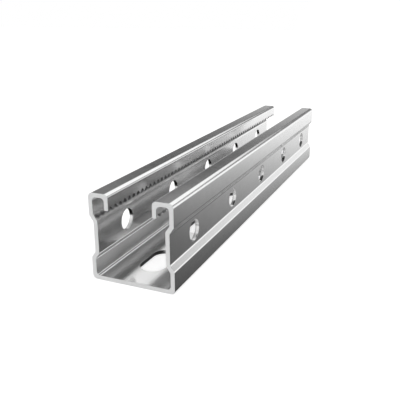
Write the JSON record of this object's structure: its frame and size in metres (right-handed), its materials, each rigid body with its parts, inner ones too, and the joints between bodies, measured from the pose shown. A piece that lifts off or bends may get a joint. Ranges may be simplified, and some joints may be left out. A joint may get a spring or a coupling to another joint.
{
  "type": "strut channel",
  "caption": "Slotted steel strut channel with stepped side walls, round holes in the walls, long slots in the base and serrated inward lips.",
  "frame": {"origin": "middle of the underside, halfway along the length", "axes": "+Y along the length, +Z out of the open side between the lips, +X to the side wall on the right seen from the -Y end"},
  "size_m": [0.041, 0.25, 0.041],
  "materials": {
    "galvanised_steel": "pre-galvanised, smooth and satin bright"
  },
  "bodies": {
    "root": {"channel": "galvanised_steel"}
  },
  "joints": []
}
